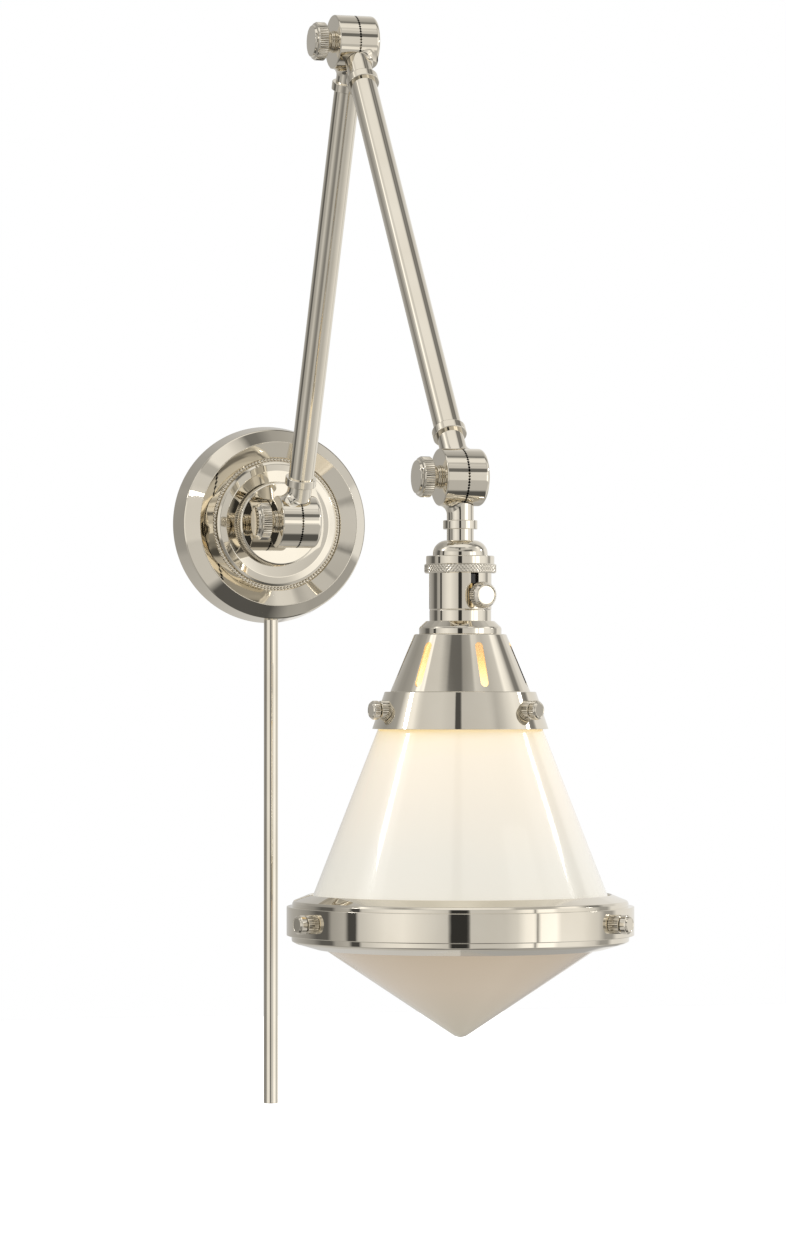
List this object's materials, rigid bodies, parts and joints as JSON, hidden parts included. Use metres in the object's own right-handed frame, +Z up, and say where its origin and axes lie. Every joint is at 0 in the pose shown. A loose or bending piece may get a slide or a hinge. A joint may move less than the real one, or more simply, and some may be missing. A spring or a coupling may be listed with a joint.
{
  "type": "swing arm wall sconce",
  "caption": "Wall sconce with a round backplate, two clamped swing arms, a cord cover, and a turn-key socket under a vented canopy with a two-piece opal glass shade.",
  "frame": {"origin": "centre of the backplate on the wall plane", "axes": "+Z up, -Y out from the wall into the room, +X to the right seen from the room; both arms lie in x = 0"},
  "size_m": [0.2162, 0.509, 0.7125],
  "materials": {
    "polished_nickel": "mirror polished warm nickel plate",
    "zinc_steel": "zinc plated, satin",
    "green_screw": "green anodised",
    "wire_pvc": "extruded insulation",
    "fibre_liner": "fibre insulating sleeve",
    "black_phenolic": "moulded black phenolic",
    "brass": "drawn, bright",
    "opal_glass_lit": "cased opal, glossy, lit from inside",
    "opal_glass": "cased opal, glossy",
    "gasket_silicone": "matte silicone",
    "bulb_glass": "frosted, lit"
  },
  "bodies": {
    "root": {"backplate": "polished_nickel", "boss": "polished_nickel", "bead_ring": "polished_nickel", "crossbar": "zinc_steel", "swivel_bush": "polished_nickel", "plate_nut": "zinc_steel", "crossbar_nut": "zinc_steel", "ground_screw": "green_screw", "cord_cover": "polished_nickel", "cord_cover_flange": "zinc_steel"},
    "swivel": {"swivel_stem": "polished_nickel", "swivel_collar": "polished_nickel", "wall_hinge_right": "polished_nickel"},
    "lower_arm": {"wall_hinge_left": "polished_nickel", "wall_knob_washer": "polished_nickel", "lower_arm_tube": "polished_nickel", "lower_arm_collars": "polished_nickel", "lower_arm_wires": "wire_pvc", "elbow_hinge_left": "polished_nickel", "elbow_knob_washer": "polished_nickel"},
    "forearm": {"elbow_hinge_right": "polished_nickel", "forearm_tube": "polished_nickel", "forearm_collars": "polished_nickel", "forearm_wires": "wire_pvc", "shade_hinge_right": "polished_nickel"},
    "shade": {"shade_hinge_left": "polished_nickel", "shade_knob_washer": "polished_nickel", "stem_collar": "polished_nickel", "socket_stem": "polished_nickel", "socket_cap": "polished_nickel", "socket_ring": "polished_nickel", "socket_shell": "polished_nickel", "socket_liner": "fibre_liner", "socket_body": "black_phenolic", "screw_shell": "brass", "centre_contact": "brass", "socket_wires": "wire_pvc", "switch_bushing": "black_phenolic", "fitter_cup": "polished_nickel", "canopy": "polished_nickel", "canopy_nuts": "polished_nickel", "upper_glass": "opal_glass_lit", "ring_band": "polished_nickel", "ring_base": "polished_nickel", "ring_nuts": "polished_nickel", "lower_bowl": "opal_glass", "gasket": "gasket_silicone", "bulb_glass": "bulb_glass", "bulb_base": "brass"},
    "wall_clamp": {"wall_knob": "polished_nickel"},
    "elbow_clamp": {"elbow_knob": "polished_nickel"},
    "shade_clamp": {"shade_knob": "polished_nickel"},
    "switch": {"switch_knob": "polished_nickel"},
    "canopy_thumb_1": {"canopy_screw_1": "polished_nickel"},
    "canopy_thumb_2": {"canopy_screw_2": "polished_nickel"},
    "canopy_thumb_3": {"canopy_screw_3": "polished_nickel"},
    "ring_thumb_1": {"ring_screw_1": "polished_nickel"},
    "ring_thumb_2": {"ring_screw_2": "polished_nickel"},
    "ring_thumb_3": {"ring_screw_3": "polished_nickel"}
  },
  "joints": [
    {"name": "wall_swivel", "type": "hinge", "parent": "root", "child": "swivel", "pos_m": [0, -0.05, 0], "axis": [0, -1, 0], "range_deg": [-80, 80]},
    {"name": "wall_pitch", "type": "hinge", "parent": "swivel", "child": "lower_arm", "pos_m": [0, -0.066, 0], "axis": [1, 0, 0], "range_deg": [-22, 32]},
    {"name": "elbow_pitch", "type": "hinge", "parent": "lower_arm", "child": "forearm", "pos_m": [0, -0.19137, 0.30418], "axis": [-1, 0, 0], "range_deg": [-2, 100]},
    {"name": "shade_tilt", "type": "hinge", "parent": "forearm", "child": "shade", "pos_m": [0, -0.40462, 0.01599], "axis": [-1, 0, 0], "range_deg": [-60, 85]},
    {"name": "wall_clamp_turn", "type": "hinge", "parent": "lower_arm", "child": "wall_clamp", "pos_m": [0, -0.066, 0], "axis": [-1, 0, 0], "range_deg": [-270, 90]},
    {"name": "elbow_clamp_turn", "type": "hinge", "parent": "lower_arm", "child": "elbow_clamp", "pos_m": [0, -0.19137, 0.30418], "axis": [-1, 0, 0], "range_deg": [-270, 90]},
    {"name": "shade_clamp_turn", "type": "hinge", "parent": "shade", "child": "shade_clamp", "pos_m": [0, -0.40462, 0.01599], "axis": [-1, 0, 0], "range_deg": [-270, 90]},
    {"name": "switch_turn", "type": "hinge", "parent": "shade", "child": "switch", "pos_m": [0, -0.40462, -0.05531], "axis": [0.1564, -0.9877, 0], "continuous": true},
    {"name": "canopy_thumb_turn_1", "type": "hinge", "parent": "shade", "child": "canopy_thumb_1", "pos_m": [0, -0.40462, -0.12401], "axis": [-0.9962, -0.0872, 0], "range_deg": [-300, 60]},
    {"name": "canopy_thumb_turn_2", "type": "hinge", "parent": "shade", "child": "canopy_thumb_2", "pos_m": [0, -0.40462, -0.12401], "axis": [0.5736, -0.8192, 0], "range_deg": [-300, 60]},
    {"name": "canopy_thumb_turn_3", "type": "hinge", "parent": "shade", "child": "canopy_thumb_3", "pos_m": [0, -0.40462, -0.12401], "axis": [0.4226, 0.9063, 0], "range_deg": [-300, 60]},
    {"name": "ring_thumb_turn_1", "type": "hinge", "parent": "shade", "child": "ring_thumb_1", "pos_m": [0, -0.40462, -0.25041], "axis": [-0.9744, -0.225, 0], "range_deg": [-300, 60]},
    {"name": "ring_thumb_turn_2", "type": "hinge", "parent": "shade", "child": "ring_thumb_2", "pos_m": [0, -0.40462, -0.25041], "axis": [0.682, -0.7314, 0], "range_deg": [-300, 60]},
    {"name": "ring_thumb_turn_3", "type": "hinge", "parent": "shade", "child": "ring_thumb_3", "pos_m": [0, -0.40462, -0.25041], "axis": [0.2924, 0.9563, 0], "range_deg": [-300, 60]}
  ]
}
